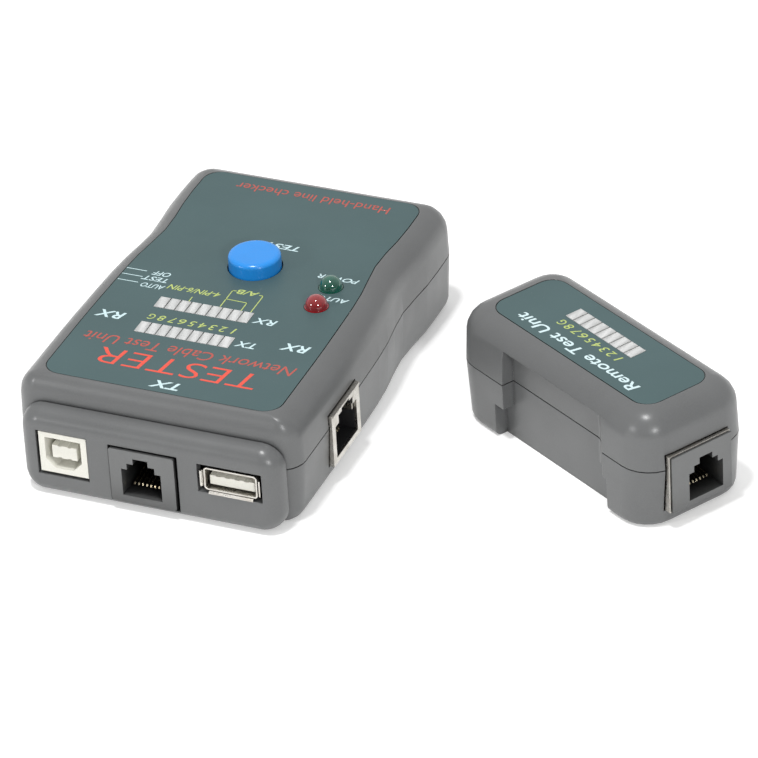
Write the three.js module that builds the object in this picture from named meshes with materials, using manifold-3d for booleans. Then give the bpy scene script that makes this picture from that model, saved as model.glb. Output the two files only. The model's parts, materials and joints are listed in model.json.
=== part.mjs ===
// Network cable tester: a hand-held main unit and its loose remote terminator.
// Units are millimetres and the floor is z = 0. Sizes are written with the main unit's connector
// face at y = 0 and its middle at x = 0, its length running away along +Y, and the remote lying
// beside it, turned. addPart then moves all of it so that the origin is under the main unit.
import * as THREE from "three";
import { mergeVertices } from "three/addons/utils/BufferGeometryUtils.js";
import Module from "manifold-3d";

const wasm = await Module();
wasm.setup();

// ---- sizes of the main unit ----
const MAIN_HEIGHT = 27.9;
const MAIN_PARTING_Z = 15.2;
const BODY_FRONT_Y = 5.2;
const BODY_BACK_Y = 108.1;
const HALF_WIDTH_FRONT = 35.3;
const HALF_WIDTH_BACK = 33.7;
const WAIST_Y = 75;
const WAIST_DEPTH = 1.5;
const WAIST_SPREAD = 10.3;
const FRONT_CORNER = 5.5;
const BACK_CORNER = 6.7;
const TOP_ROUNDING = 6.2;
const BOTTOM_ROUNDING = 3.2;
const UPPER_DRAFT = 0.032;
const LOWER_DRAFT = 0.058;
const FRONT_EDGE_SHARE = 0.55;
const WALL = 2;
const LOWER_WALL = 2.4;
const SEAM_GAP = 0.28;
const LABEL_THICKNESS = 0.3;
const LABEL_MARGIN = 6;
const LABEL_FRONT_Y = 9;
const LABEL_BACK_Y = 102.6;
const LABEL_CORNER = 4.2;
const LABEL_GAP = 0.22;

const ORIGIN_Y = 54;

// ---- sizes of the front panel ----
const PANEL_HALF_WIDTH = 32.6;
const PANEL_MIDDLE_X = 0.4;
const PANEL_BOTTOM_Z = 0.05;
const PANEL_TOP_Z = 22.2;
const PANEL_CORNER = 5.4;
const PANEL_ROUNDING = 4.2;
const PANEL_BOTTOM_ROUNDING = 2.7;
const PANEL_WALL = 2.2;

// ---- things on the label ----
const BAR_LENGTH = 23.7;
const BAR_DEPTH = 4.46;
const BAR_WINDOWS = 9;
const BAR_X = -3.8;
const TX_BAR_Y = 32.95;
const RX_BAR_Y = 44.05;
const BUTTON_X = 0;
const BUTTON_Y = 65.4;
const BUTTON_RADIUS = 6.3;
const BUTTON_HOLE_RADIUS = 6.55;
const BUTTON_PROUD = 3.7;
const BUTTON_TRAVEL = 1.5;
const LED_X = 20.6;
const GREEN_LED_Y = 62.3;
const RED_LED_Y = 53.6;

// ---- inside the main unit ----
const BOARD_BOTTOM_Z = 18.8;
const BOARD_THICKNESS = 1.6;
const SCREW_POSTS = [[-28.6, 20.6], [28.6, 20.6], [-28, 69.5], [28, 69.5]];
const POST_RADIUS = 2.5;
const BOARD_POSTS = [[-20, 66], [20, 46]];
const DOOR_HALF_WIDTH = 25.4;
const DOOR_FRONT_Y = 72.4;
const DOOR_THICKNESS = 2.1;
const BATTERY = { length: 48.5, depth: 26.5, height: 17, x: -2.2, y: 89.4, z: 2.7 };

// ---- modular jacks ----
const JACK_STEPS = [[9.86, 7.22], [6.96, 1.62], [3.73, 1.57]];
const SHIELDED_STEPS = [[12.4, 8.4], [8.4, 2], [4.4, 1.2]];
const CONTACT_PITCH = 1.02;
const CONTACT_COUNT = 8;
const SIDE_JACK_Y = 32.5;
const SWITCH_Y = 55.5;
const SWITCH_TRAVEL = 5.2;
const SWITCH_Z = 14.4;

// ---- the remote terminator ----
const REMOTE = { length: 70.9, width: 31.9, height: 29.3, parting: 15.7, corner: 8.2 };
const REMOTE_BOTTOM_ROUNDING = 1.8;
const REMOTE_UPPER_DRAFT = 0.05;
const REMOTE_LOWER_DRAFT = 0.01;
const REMOTE_END_DRAFT = 0.08;
const REMOTE_X = 89.08;
const REMOTE_Y = 57.88;
const REMOTE_TURN = -30.7;
const RECESS_X = 0.8;
const RECESS_HALF_WIDTH = 17.3;
const RECESS_DEPTH = 3.4;
const RECESS_TOP_Z = 24.8;
const NOTCH_HALF_WIDTH = 20.5;
const NOTCH_TOP_Z = 9.1;
const REMOTE_BOARD_Z = 19.9;
const REMOTE_JACK_PROUD = 0.7;
const REMOTE_POSTS = [[-26.6, 3], [8, -5.6]];

const SHELL_GREY = 0x6f7173;
const LABEL_GREEN = 0x52696b;
const NICKEL = 0xc9c5bd;

// ------------------------------------------------------------------ solid helpers
function solid(geometry) {
  const bare = geometry.clone();
  bare.deleteAttribute("normal");
  bare.deleteAttribute("uv");
  const merged = mergeVertices(bare, 1e-5);
  return new wasm.Manifold(new wasm.Mesh({
    numProp: 3,
    vertProperties: new Float32Array(merged.attributes.position.array),
    triVerts: new Uint32Array(merged.index.array),
  }));
}

function box(x0, x1, y0, y1, z0, z1) {
  const geometry = new THREE.BoxGeometry(x1 - x0, y1 - y0, z1 - z0);
  geometry.translate((x0 + x1) / 2, (y0 + y1) / 2, (z0 + z1) / 2);
  return solid(geometry);
}

function upright(x, y, radius, z0, z1, segments = 24, topRadius = radius) {
  const geometry = new THREE.CylinderGeometry(topRadius, radius, z1 - z0, segments);
  geometry.rotateX(Math.PI / 2);
  geometry.translate(x, y, (z0 + z1) / 2);
  return solid(geometry);
}

// A closed body through rings that all have the same number of points; flat caps end it.
function loft(rings) {
  const count = rings[0].length;
  const positions = rings.flat().flatMap((point) => [point.x, point.y, point.z]);
  const index = [];
  for (let ring = 0; ring + 1 < rings.length; ring += 1) {
    for (let i = 0; i < count; i += 1) {
      const a = ring * count + i;
      const b = ring * count + (i + 1) % count;
      index.push(a, b, b + count, a, b + count, a + count);
    }
  }
  const flat = (ring) => {
    const spread = new THREE.Box3().setFromPoints(ring).getSize(new THREE.Vector3());
    const acrossX = spread.x < spread.y && spread.x < spread.z;
    const acrossY = spread.y < spread.z && !acrossX;
    return ring.map((p) => {
      if (acrossX) return new THREE.Vector2(p.y, p.z);
      return acrossY ? new THREE.Vector2(p.z, p.x) : new THREE.Vector2(p.x, p.y);
    });
  };
  const turnsLeft = THREE.ShapeUtils.area(flat(rings[0])) > 0;
  const last = (rings.length - 1) * count;
  THREE.ShapeUtils.triangulateShape(flat(rings[0]), []).forEach(([a, b, c]) => {
    index.push(...(turnsLeft ? [a, c, b] : [a, b, c]));
  });
  THREE.ShapeUtils.triangulateShape(flat(rings[rings.length - 1]), []).forEach(([a, b, c]) => {
    index.push(...(turnsLeft ? [last + a, last + b, last + c] : [last + a, last + c, last + b]));
  });
  const geometry = new THREE.BufferGeometry();
  geometry.setAttribute("position", new THREE.Float32BufferAttribute(positions, 3));
  geometry.setIndex(signedVolume(positions, index) > 0 ? index : index.reverse());
  return solid(geometry);
}

function signedVolume(positions, index) {
  const corner = (i) => new THREE.Vector3().fromArray(positions, 3 * i);
  let total = 0;
  for (let i = 0; i < index.length; i += 3) {
    total += corner(index[i]).dot(corner(index[i + 1]).cross(corner(index[i + 2])));
  }
  return total;
}

function prism(outline, z0, z1) {
  const ring = (z) => outline.map(([x, y]) => new THREE.Vector3(x, y, z));
  return loft([ring(z0), ring(z1)]);
}

function union(first, ...others) {
  return others.reduce((whole, next) => whole.add(next), first);
}

function without(first, ...others) {
  return others.reduce((whole, next) => whole.subtract(next), first);
}

function arc(cx, cy, radius, fromDegrees, steps) {
  const points = [];
  for (let i = 0; i <= steps; i += 1) {
    const angle = THREE.MathUtils.degToRad(fromDegrees + 90 * i / steps);
    points.push([cx + radius * Math.cos(angle), cy + radius * Math.sin(angle)]);
  }
  return points;
}

function roundedRectangle(x0, x1, y0, y1, radius, steps = 6) {
  return [
    ...arc(x1 - radius, y0 + radius, radius, -90, steps),
    ...arc(x1 - radius, y1 - radius, radius, 0, steps),
    ...arc(x0 + radius, y1 - radius, radius, 90, steps),
    ...arc(x0 + radius, y0 + radius, radius, 180, steps),
  ];
}

// ------------------------------------------------------------------ body outlines
function halfWidth(y) {
  const along = THREE.MathUtils.clamp((y - 35) / 70, 0, 1);
  const plain = THREE.MathUtils.lerp(HALF_WIDTH_FRONT, HALF_WIDTH_BACK, along);
  return plain - WAIST_DEPTH * Math.exp(-(((y - WAIST_Y) / WAIST_SPREAD) ** 2));
}

// Plan outline of the waisted main unit, drawn in from its parting line by the inset.
function waistedOutline(inset, y0, y1, radius, backRadius = radius) {
  const steps = 14;
  const sideY = [];
  for (let i = 1; i < steps; i += 1) {
    sideY.push(THREE.MathUtils.lerp(y0 + radius, y1 - backRadius, i / steps));
  }
  const wide = (y) => halfWidth(y) - inset;
  const front = wide(y0 + radius);
  const back = wide(y1 - backRadius);
  return [
    ...arc(front - radius, y0 + radius, radius, -90, 6),
    ...sideY.map((y) => [wide(y), y]),
    ...arc(back - backRadius, y1 - backRadius, backRadius, 0, 6),
    ...arc(backRadius - back, y1 - backRadius, backRadius, 90, 6),
    ...sideY.reverse().map((y) => [-wide(y), y]),
    ...arc(radius - front, y0 + radius, radius, 180, 6),
  ];
}

// The edges above and below roll over less on the front end, where the panel stands.
function mainOutline(inset, wall) {
  const whole = inset + wall;
  return waistedOutline(whole, BODY_FRONT_Y + inset * FRONT_EDGE_SHARE + wall, BODY_BACK_Y - whole,
    Math.max(FRONT_CORNER - whole, 1.6), Math.max(BACK_CORNER - whole, 1.6));
}

// The remote's ends lean in below the parting line, its long sides stand upright.
function remoteOutline(inset, wall, z = REMOTE.parting) {
  const whole = inset + wall;
  const lean = Math.max(REMOTE.parting - z, 0) * REMOTE_END_DRAFT;
  const x = REMOTE.length / 2 - whole - lean;
  const y = REMOTE.width / 2 - whole;
  return roundedRectangle(-x, x, -y, y, Math.max(REMOTE.corner - whole, 1.6));
}

// Heights and insets of a moulded box: drafted walls with a rounded bottom and top edge.
function boxProfile(z0, z1, mould, bottomRounding, topRounding) {
  const { parting, upperDraft, lowerDraft } = mould;
  const draft = (z) => Math.abs(z - parting) * (z > parting ? upperDraft : lowerDraft);
  const profile = [];
  for (const degrees of [0, 22, 45, 67, 90]) {
    const angle = THREE.MathUtils.degToRad(degrees);
    const z = z0 + bottomRounding * (1 - Math.cos(angle));
    profile.push([z, draft(z) + bottomRounding * (1 - Math.sin(angle))]);
  }
  profile.push([parting, 0]);
  for (const degrees of [90, 74, 58, 42, 28, 14, 0]) {
    const angle = THREE.MathUtils.degToRad(degrees);
    const z = z1 - topRounding * (1 - Math.cos(angle));
    profile.push([z, draft(z) + topRounding * (1 - Math.sin(angle))]);
  }
  return profile;
}

function mouldedBox(outline, profile, wall = 0) {
  return loft(profile.map(([z, inset]) => (
    outline(inset, wall, z).map(([x, y]) => new THREE.Vector3(x, y, z)))));
}

// Outer body, its hollow, and the lip that keys the lower shell into the upper one.
function shellBodies(outline, height, mould) {
  const { parting } = mould;
  const profile = boxProfile(0, height, mould, mould.bottomRounding, TOP_ROUNDING);
  const hollow = boxProfile(LOWER_WALL, height - WALL - LABEL_THICKNESS, mould, 1, 3.4);
  return {
    outer: mouldedBox(outline, profile),
    hollowUpper: mouldedBox(outline, hollow, WALL),
    hollowLower: mouldedBox(outline, hollow, LOWER_WALL),
    lip: prism(outline(0, WALL + 0.25), parting - 3, parting + 1.3)
      .subtract(prism(outline(0, WALL + 1.05), parting - 4, parting + 2)),
  };
}

const FAR = 200;
const above = (z) => box(-FAR, FAR, -FAR, FAR, z, FAR);
const below = (z) => box(-FAR, FAR, -FAR, FAR, -FAR, z);

// ------------------------------------------------------------------ the parts list
const tester = new THREE.Group();
tester.name = "network_cable_tester";

function addPart(name, body, colour, roughness = 0.55, metalness = 0, placement = null) {
  const mesh = body.getMesh();
  const geometry = new THREE.BufferGeometry();
  geometry.setAttribute("position", new THREE.BufferAttribute(
    new Float32Array(mesh.vertProperties), 3));
  geometry.setIndex(new THREE.BufferAttribute(new Uint32Array(mesh.triVerts), 1));
  if (placement) geometry.applyMatrix4(placement);
  geometry.translate(0, -ORIGIN_Y, 0);
  const flat = geometry.toNonIndexed();
  flat.computeVertexNormals();
  const material = new THREE.MeshStandardMaterial({ color: colour, roughness, metalness });
  const part = new THREE.Mesh(flat, material);
  part.name = name;
  tester.add(part);
}

function turnedAboutZ(degrees, x, y) {
  const turn = new THREE.Matrix4().makeRotationZ(THREE.MathUtils.degToRad(degrees));
  return new THREE.Matrix4().makeTranslation(x, y, 0).multiply(turn);
}

const remotePlace = turnedAboutZ(REMOTE_TURN, REMOTE_X, REMOTE_Y);

// ------------------------------------------------------------------ modular jacks
// Local jack frame: mouth in the plane y = 0 facing -Y, middle x = 0, floor of the mouth z = z0.
function mouth(steps, z0, depth, centreX = 0) {
  let z = z0;
  const slices = steps.map(([width, height]) => {
    const slice = box(centreX - width / 2, centreX + width / 2, -5, depth, z - 0.01, z + height);
    z += height;
    return slice;
  });
  return union(...slices);
}

function jackContacts(z0, centreX = 0) {
  const span = CONTACT_PITCH * (CONTACT_COUNT - 1);
  const fingers = [];
  for (let i = 0; i < CONTACT_COUNT; i += 1) {
    const x = centreX - span / 2 + i * CONTACT_PITCH;
    const side = (offset) => [
      new THREE.Vector3(x + offset, 3.5, z0 + 0.9),
      new THREE.Vector3(x + offset, 3.8, z0 + 1.4),
      new THREE.Vector3(x + offset, 10.9, z0 + 2.6),
      new THREE.Vector3(x + offset, 10.9, z0 + 2.1),
    ];
    fingers.push(loft([side(-0.2), side(0.2)]));
  }
  const carrier = box(centreX - span / 2 - 0.6, centreX + span / 2 + 0.6,
    10.6, 11.6, z0 + 1.5, z0 + 3.3);
  return union(carrier, ...fingers);
}

// A plain modular jack: a plate standing just proud of the case on a narrower housing.
function modularHousing({ plateX0, plateX1, plateZ0, plateZ1, openingX, openingZ }) {
  const plate = prism(roundedRectangle(plateX0, plateX1, plateZ0, plateZ1, 0.5, 3), 0, 1.8);
  const flat = turnedPlate(plate);
  const body = box(plateX0 + 0.4, plateX1 - 0.4, 1.5, 15.2, plateZ0 + 0.3, plateZ1 - 0.3);
  return without(union(flat, body), mouth(JACK_STEPS, openingZ, 12.4, openingX));
}

// Stands a flat prism drawn in x and y up into the x-z plane, its depth running along +Y.
function turnedPlate(plate) {
  return plate.rotate([90, 0, 0]).mirror([0, 1, 0]);
}

// ------------------------------------------------------------------ main unit: shells
const mainBodies = shellBodies(mainOutline, MAIN_HEIGHT, {
  parting: MAIN_PARTING_Z,
  upperDraft: UPPER_DRAFT,
  lowerDraft: LOWER_DRAFT,
  bottomRounding: BOTTOM_ROUNDING,
});

// Dock boss on the far end, which the remote's recess and notches slide over.
const dockBoss = union(
  box(-16.4, 16.4, BODY_BACK_Y - 1.2, BODY_BACK_Y + 2.2, 3, 22.5),
  box(-19.8, 19.8, BODY_BACK_Y - 1.2, BODY_BACK_Y + 2.2, 3, 7.2),
);

const labelRecess = prism(
  waistedOutline(LABEL_MARGIN - LABEL_GAP, LABEL_FRONT_Y - LABEL_GAP, LABEL_BACK_Y + LABEL_GAP,
    LABEL_CORNER + LABEL_GAP),
  MAIN_HEIGHT - LABEL_THICKNESS - 0.1, MAIN_HEIGHT + 5);

const frontOpening = turnedPlate(
  prism(roundedRectangle(-29.3, 29.3, 2.5, 18.7, 1.2), BODY_FRONT_Y - 1, BODY_FRONT_Y + WALL + 3));

const TX_JACK = {
  plateX0: -8.95, plateX1: 7.3, plateZ0: 2.6, plateZ1: 16.7, openingX: -1.1, openingZ: 4.36,
};
const SIDE_JACK_HALF = 8;
const SIDE_JACK_Z0 = 4.75;
const SIDE_JACK_Z1 = 18.4;
const sideJackHoles = box(-45, 45, SIDE_JACK_Y - SIDE_JACK_HALF - 0.35,
  SIDE_JACK_Y + SIDE_JACK_HALF + 0.35, SIDE_JACK_Z0 - 0.35, SIDE_JACK_Z1 + 0.35);

const switchMiddleY = SWITCH_Y - SWITCH_TRAVEL / 2;
const switchSlot = box(-45, -25, switchMiddleY - SWITCH_TRAVEL / 2 - 2, switchMiddleY
  + SWITCH_TRAVEL / 2 + 2, SWITCH_Z - 1.6, SWITCH_Z + 1.6);

function barHole(x, y, z0, z1, clearance) {
  return box(x - BAR_LENGTH / 2 - clearance, x + BAR_LENGTH / 2 + clearance,
    y - BAR_DEPTH / 2 - clearance, y + BAR_DEPTH / 2 + clearance, z0, z1);
}

function labelHoles(z0, z1, clearance) {
  return union(
    barHole(BAR_X, TX_BAR_Y, z0, z1, clearance),
    barHole(BAR_X, RX_BAR_Y, z0, z1, clearance),
    upright(LED_X, GREEN_LED_Y, 2.95 + clearance, z0, z1),
    upright(LED_X, RED_LED_Y, 2.95 + clearance, z0, z1),
    upright(BUTTON_X, BUTTON_Y, BUTTON_HOLE_RADIUS + clearance, z0, z1, 40),
  );
}

function screwColumns(posts, radius, z0, z1) {
  return union(...posts.map(([x, y]) => upright(x, y, radius, z0, z1, 20)));
}

const doorSlot = union(
  box(-DOOR_HALF_WIDTH - 0.3, DOOR_HALF_WIDTH + 0.3, DOOR_FRONT_Y - 0.3, 120, -1, 2.41),
  box(-DOOR_HALF_WIDTH - 1.4, DOOR_HALF_WIDTH + 1.4, DOOR_FRONT_Y + 1.5, 120, 0.8, 1.75),
);

const upperSolid = without(
  mainBodies.outer.add(dockBoss).intersect(above(MAIN_PARTING_Z + SEAM_GAP / 2)),
  mainBodies.hollowUpper,
);
const upperPosts = screwColumns(SCREW_POSTS, POST_RADIUS, MAIN_PARTING_Z + 2, MAIN_HEIGHT - 1.5);
const boardPosts = screwColumns(BOARD_POSTS, 2.2, BOARD_BOTTOM_Z + BOARD_THICKNESS + 0.1,
  MAIN_HEIGHT - 1.5);
addPart("top_shell", without(
  union(upperSolid, upperPosts, boardPosts),
  labelRecess,
  labelHoles(MAIN_HEIGHT - 5, MAIN_HEIGHT + 5, 0.2),
  frontOpening,
  sideJackHoles,
  switchSlot,
  screwColumns(SCREW_POSTS, 1.1, MAIN_PARTING_Z, MAIN_HEIGHT - 5),
  screwColumns(BOARD_POSTS, 0.9, BOARD_BOTTOM_Z, MAIN_HEIGHT - 3.9),
), SHELL_GREY);

const lowerPosts = screwColumns(SCREW_POSTS, POST_RADIUS + 0.5, 1, MAIN_PARTING_Z + 1.7);
const boardRests = screwColumns([[-14, 58], [14, 58]], 1.6, 1, BOARD_BOTTOM_Z - 0.1);
const batteryWall = box(-30, 30, 71, 72.2, 1.5, 13);
addPart("bottom_shell", without(
  union(
    without(mainBodies.outer.add(dockBoss).intersect(below(MAIN_PARTING_Z - SEAM_GAP / 2)),
      mainBodies.hollowLower),
    mainBodies.lip,
    lowerPosts,
    boardRests,
    batteryWall.intersect(mainBodies.outer),
  ),
  frontOpening,
  sideJackHoles,
  switchSlot,
  doorSlot,
  screwColumns(SCREW_POSTS, 1.5, -1, MAIN_PARTING_Z + 3),
  screwColumns(SCREW_POSTS, 2.4, -1, 4),
), SHELL_GREY);

// ------------------------------------------------------------------ main unit: front panel
function panelRing(y, inset, bottomInset = inset) {
  const outline = roundedRectangle(PANEL_MIDDLE_X - PANEL_HALF_WIDTH + inset,
    PANEL_MIDDLE_X + PANEL_HALF_WIDTH - inset, PANEL_BOTTOM_Z + bottomInset, PANEL_TOP_Z - inset,
    Math.max(PANEL_CORNER - inset, 0.8), 8);
  return outline.map(([x, z]) => new THREE.Vector3(x, y, z));
}

const panelRear = BODY_FRONT_Y - SEAM_GAP;
const panelRings = [panelRing(panelRear, 0)];
for (const degrees of [90, 74, 58, 42, 28, 14, 0]) {
  const angle = THREE.MathUtils.degToRad(degrees);
  const cut = 1 - Math.sin(angle);
  panelRings.push(panelRing(PANEL_ROUNDING * (1 - Math.cos(angle)), PANEL_ROUNDING * cut,
    PANEL_BOTTOM_ROUNDING * cut));
}
const panelHollow = loft([
  panelRing(PANEL_WALL, PANEL_ROUNDING),
  panelRing(panelRear - 1.2, PANEL_WALL + 1.2),
  panelRing(panelRear + 1, PANEL_WALL + 1.2),
]);
const panelCollar = loft([3, 8.4].map((y) => panelRing(y, 3.75))).subtract(
  loft([2, 9.4].map((y) => panelRing(y, 4.85))));
addPart("front_panel", without(
  union(loft(panelRings).subtract(panelHollow),
    panelCollar.intersect(box(-29, 29, 3, 9, 3.1, 18.4))),
  box(-27.5, -14.6, -5, 12, 5.6, 17.5),
  box(-9.25, 8, -5, 12, 2.1, 17.2),
  box(12.84, 28.84, -5, 12, 9, 16.6),
), SHELL_GREY);

// ------------------------------------------------------------------ main unit: label
addPart("main_label", without(
  prism(waistedOutline(LABEL_MARGIN, LABEL_FRONT_Y, LABEL_BACK_Y, LABEL_CORNER),
    MAIN_HEIGHT - LABEL_THICKNESS - 0.05, MAIN_HEIGHT - 0.05),
  labelHoles(MAIN_HEIGHT - 5, MAIN_HEIGHT + 5, 0.05),
), LABEL_GREEN, 0.4);

// A row of nine light windows parted by shallow grooves.
function windowBar(x, y, z0, z1) {
  const pitch = BAR_LENGTH / BAR_WINDOWS;
  const grooves = [];
  for (let i = 1; i < BAR_WINDOWS; i += 1) {
    const middle = x - BAR_LENGTH / 2 + i * pitch;
    grooves.push(box(middle - 0.16, middle + 0.16, y - BAR_DEPTH, y + BAR_DEPTH, z1 - 0.5, z1 + 1));
  }
  return without(barHole(x, y, z0, z1, -0.02), ...grooves);
}

const boardTop = BOARD_BOTTOM_Z + BOARD_THICKNESS;
addPart("tx_light_bar", windowBar(BAR_X, TX_BAR_Y, boardTop + 0.05, MAIN_HEIGHT + 0.05),
  0xe8eaea, 0.35);
addPart("rx_light_bar", windowBar(BAR_X, RX_BAR_Y, boardTop + 0.05, MAIN_HEIGHT + 0.05),
  0xe8eaea, 0.35);

// A 5 mm lamp: two leads, a rim level with the label and a domed lens.
function domeLamp(x, y) {
  const rimZ = MAIN_HEIGHT - 0.5;
  const lens = [[0, 2.65]];
  for (const degrees of [0, 18, 36, 54, 70, 84]) {
    const angle = THREE.MathUtils.degToRad(degrees);
    lens.push([1.1 + 2.5 * Math.sin(angle), 2.65 * Math.cos(angle)]);
  }
  const ring = ([rise, radius]) => Array.from({ length: 24 }, (unused, i) => {
    const angle = 2 * Math.PI * i / 24;
    return new THREE.Vector3(x + radius * Math.cos(angle), y + radius * Math.sin(angle),
      rimZ - 0.2 + rise);
  });
  const leads = [-1.27, 1.27].map((offset) => (
    box(x + offset - 0.25, x + offset + 0.25, y - 0.25, y + 0.25, boardTop + 0.05, rimZ)));
  return union(upright(x, y, 2.5, rimZ - 4, rimZ), upright(x, y, 2.85, rimZ - 0.5, rimZ + 0.5),
    loft(lens.map(ring)), ...leads);
}

addPart("power_lamp_green", domeLamp(LED_X, GREEN_LED_Y), 0x0f5a3a, 0.2);
addPart("auto_lamp_red", domeLamp(LED_X, RED_LED_Y), 0x9a1220, 0.2);

// ------------------------------------------------------------------ main unit: test button
function buttonCap() {
  const top = MAIN_HEIGHT + BUTTON_PROUD;
  const profile = [[24.1, BUTTON_RADIUS], [top - 1, BUTTON_RADIUS], [top - 0.62, BUTTON_RADIUS - 0.1],
    [top - 0.3, BUTTON_RADIUS - 0.32], [top - 0.08, BUTTON_RADIUS - 0.7], [top, BUTTON_RADIUS - 1.2]];
  const rings = profile.map(([z, radius]) => Array.from({ length: 40 }, (unused, i) => {
    const angle = 2 * Math.PI * i / 40;
    return new THREE.Vector3(BUTTON_X + radius * Math.cos(angle),
      BUTTON_Y + radius * Math.sin(angle), z);
  }));
  const flange = upright(BUTTON_X, BUTTON_Y, 7.9, 24.1, 25.1, 40);
  return union(loft(rings), flange);
}

addPart("test_button", buttonCap(), 0x1273d6, 0.22);
addPart("tact_switch", union(
  box(BUTTON_X - 6, BUTTON_X + 6, BUTTON_Y - 6, BUTTON_Y + 6, boardTop + 0.05, boardTop + 1.6),
  upright(BUTTON_X, BUTTON_Y, 2, boardTop + 1, 24.1 - BUTTON_TRAVEL - 0.1),
), 0x1c1c1e);

// ------------------------------------------------------------------ main unit: board and chip
addPart("main_board", without(
  box(-25, 25, 9, 70.5, BOARD_BOTTOM_Z, boardTop),
  screwColumns(BOARD_POSTS, 1.3, 10, 25),
), 0x1f5a34, 0.5);
addPart("main_chip", box(-6, 14, 48.5, 56, boardTop + 0.05, boardTop + 3.4), 0x18181a);
BOARD_POSTS.forEach(([x, y], i) => {
  addPart(`board_screw_${i + 1}`, union(
    upright(x, y, 2, BOARD_BOTTOM_Z - 1.5, BOARD_BOTTOM_Z - 0.05, 20),
    upright(x, y, 0.8, BOARD_BOTTOM_Z - 0.5, BOARD_BOTTOM_Z + 5, 16),
  ), NICKEL, 0.35, 0.9);
});

function caseScrew(x, y, headZ, length) {
  const body = union(
    upright(x, y, 2.1, headZ, headZ + 1.6, 20),
    upright(x, y, 1, headZ + 1, headZ + length, 16),
  );
  return without(body, box(x - 1.5, x + 1.5, y - 0.25, y + 0.25, headZ - 1, headZ + 0.8),
    box(x - 0.25, x + 0.25, y - 1.5, y + 1.5, headZ - 1, headZ + 0.8));
}

SCREW_POSTS.forEach(([x, y], i) => {
  addPart(`case_screw_${i + 1}`, caseScrew(x, y, 2.3, 17), NICKEL, 0.35, 0.9);
});

// ------------------------------------------------------------------ main unit: front sockets
const USB_B = { x: -20.84, z: 11.78, half: 6.01, halfHeight: 5.38 };

function usbBOutline(halfWide, halfHigh, bevel) {
  const { x, z } = USB_B;
  return [
    [x - halfWide + bevel, z - halfHigh], [x + halfWide - bevel, z - halfHigh],
    [x + halfWide, z - halfHigh + bevel], [x + halfWide, z + halfHigh],
    [x - halfWide, z + halfHigh], [x - halfWide, z - halfHigh + bevel],
  ];
}

const usbBCavity = turnedPlate(prism(usbBOutline(4.5, 4.05, 2.3), -3, 9));
const usbBBlock = box(USB_B.x - USB_B.half, USB_B.x + USB_B.half, 0.2, 14.5,
  USB_B.z - USB_B.halfHeight, USB_B.z + USB_B.halfHeight);
const usbBTongue = box(USB_B.x - 3.1, USB_B.x + 3.1, 0.9, 10, USB_B.z - 1.6, USB_B.z + 1.8);
const usbBGrooves = [-1.25, 1.25].flatMap((x) => [-1.6, 1.8].map((z) => (
  box(USB_B.x + x - 0.45, USB_B.x + x + 0.45, 0, 8, USB_B.z + z - 0.2, USB_B.z + z + 0.2))));
addPart("usb_b_housing", without(union(without(usbBBlock, usbBCavity), usbBTongue), ...usbBGrooves),
  0xe9e4d6, 0.45);
addPart("usb_b_shield", without(
  box(USB_B.x - 6.45, USB_B.x + 6.45, 9.6, 15.3, USB_B.z - 5.8, USB_B.z + 5.8),
  box(USB_B.x - 6.07, USB_B.x + 6.07, 9, 14.9, USB_B.z - 5.45, USB_B.z + 5.45),
), NICKEL, 0.3, 0.9);

const USB_A = { x: 21.1, z: 12.95, half: 6.6, halfHeight: 3 };

function usbATube(grow, y0, y1) {
  const outline = roundedRectangle(USB_A.x - USB_A.half - grow, USB_A.x + USB_A.half + grow,
    USB_A.z - USB_A.halfHeight - grow, USB_A.z + USB_A.halfHeight + grow, 0.9 + grow, 4);
  return turnedPlate(prism(outline, y0, y1));
}

// A flared lip: a strip that leans outward from one edge of the socket mouth.
function flaredLip(length, place) {
  const lean = [[-0.05, 0.9], [0.3, 0.9], [-0.5, -0.35], [-0.85, -0.35]];
  const ring = (along) => lean.map(([out, y]) => place(along, out, y));
  return loft([ring(-length / 2), ring(length / 2)]);
}

const usbALips = [
  flaredLip(11, (along, out, y) => new THREE.Vector3(
    USB_A.x + along, y, USB_A.z - USB_A.halfHeight + out)),
  flaredLip(4.2, (along, out, y) => new THREE.Vector3(
    USB_A.x - USB_A.half + out, y, USB_A.z + along)),
  flaredLip(4.2, (along, out, y) => new THREE.Vector3(
    USB_A.x + USB_A.half - out, y, USB_A.z + along)),
];
addPart("usb_a_shell", union(without(usbATube(0, 0, 13.6), usbATube(-0.4, -1, 13.2)), ...usbALips),
  NICKEL, 0.25, 0.9);
const usbAGrooves = [-3.5, -1.2, 1.2, 3.5].map((x) => (
  box(USB_A.x + x - 0.6, USB_A.x + x + 0.6, 0, 9, USB_A.z + 0.25, USB_A.z + 1)));
addPart("usb_a_tongue", without(union(
  box(USB_A.x - 5.55, USB_A.x + 5.55, 1.1, 10, USB_A.z - 1.95, USB_A.z + 0.45),
  usbATube(-0.5, 9.4, 13.1),
), ...usbAGrooves), 0xf1efea, 0.4);

const txForward = new THREE.Matrix4().makeTranslation(0, -0.5, 0);
addPart("tx_jack", modularHousing(TX_JACK), SHELL_GREY, 0.5, 0, txForward);
addPart("tx_jack_contacts", jackContacts(TX_JACK.openingZ, TX_JACK.openingX), 0xd8b45a, 0.3, 0.9,
  txForward);

// ------------------------------------------------------------------ main unit: side sockets
const SIDE_JACK_PROUD = 0.75;
const rightJackPlace = turnedAboutZ(90, halfWidth(SIDE_JACK_Y) + SIDE_JACK_PROUD, SIDE_JACK_Y);
const leftJackPlace = turnedAboutZ(-90, -halfWidth(SIDE_JACK_Y) - SIDE_JACK_PROUD, SIDE_JACK_Y);
const SHIELDED_Z = 6.2;

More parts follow.
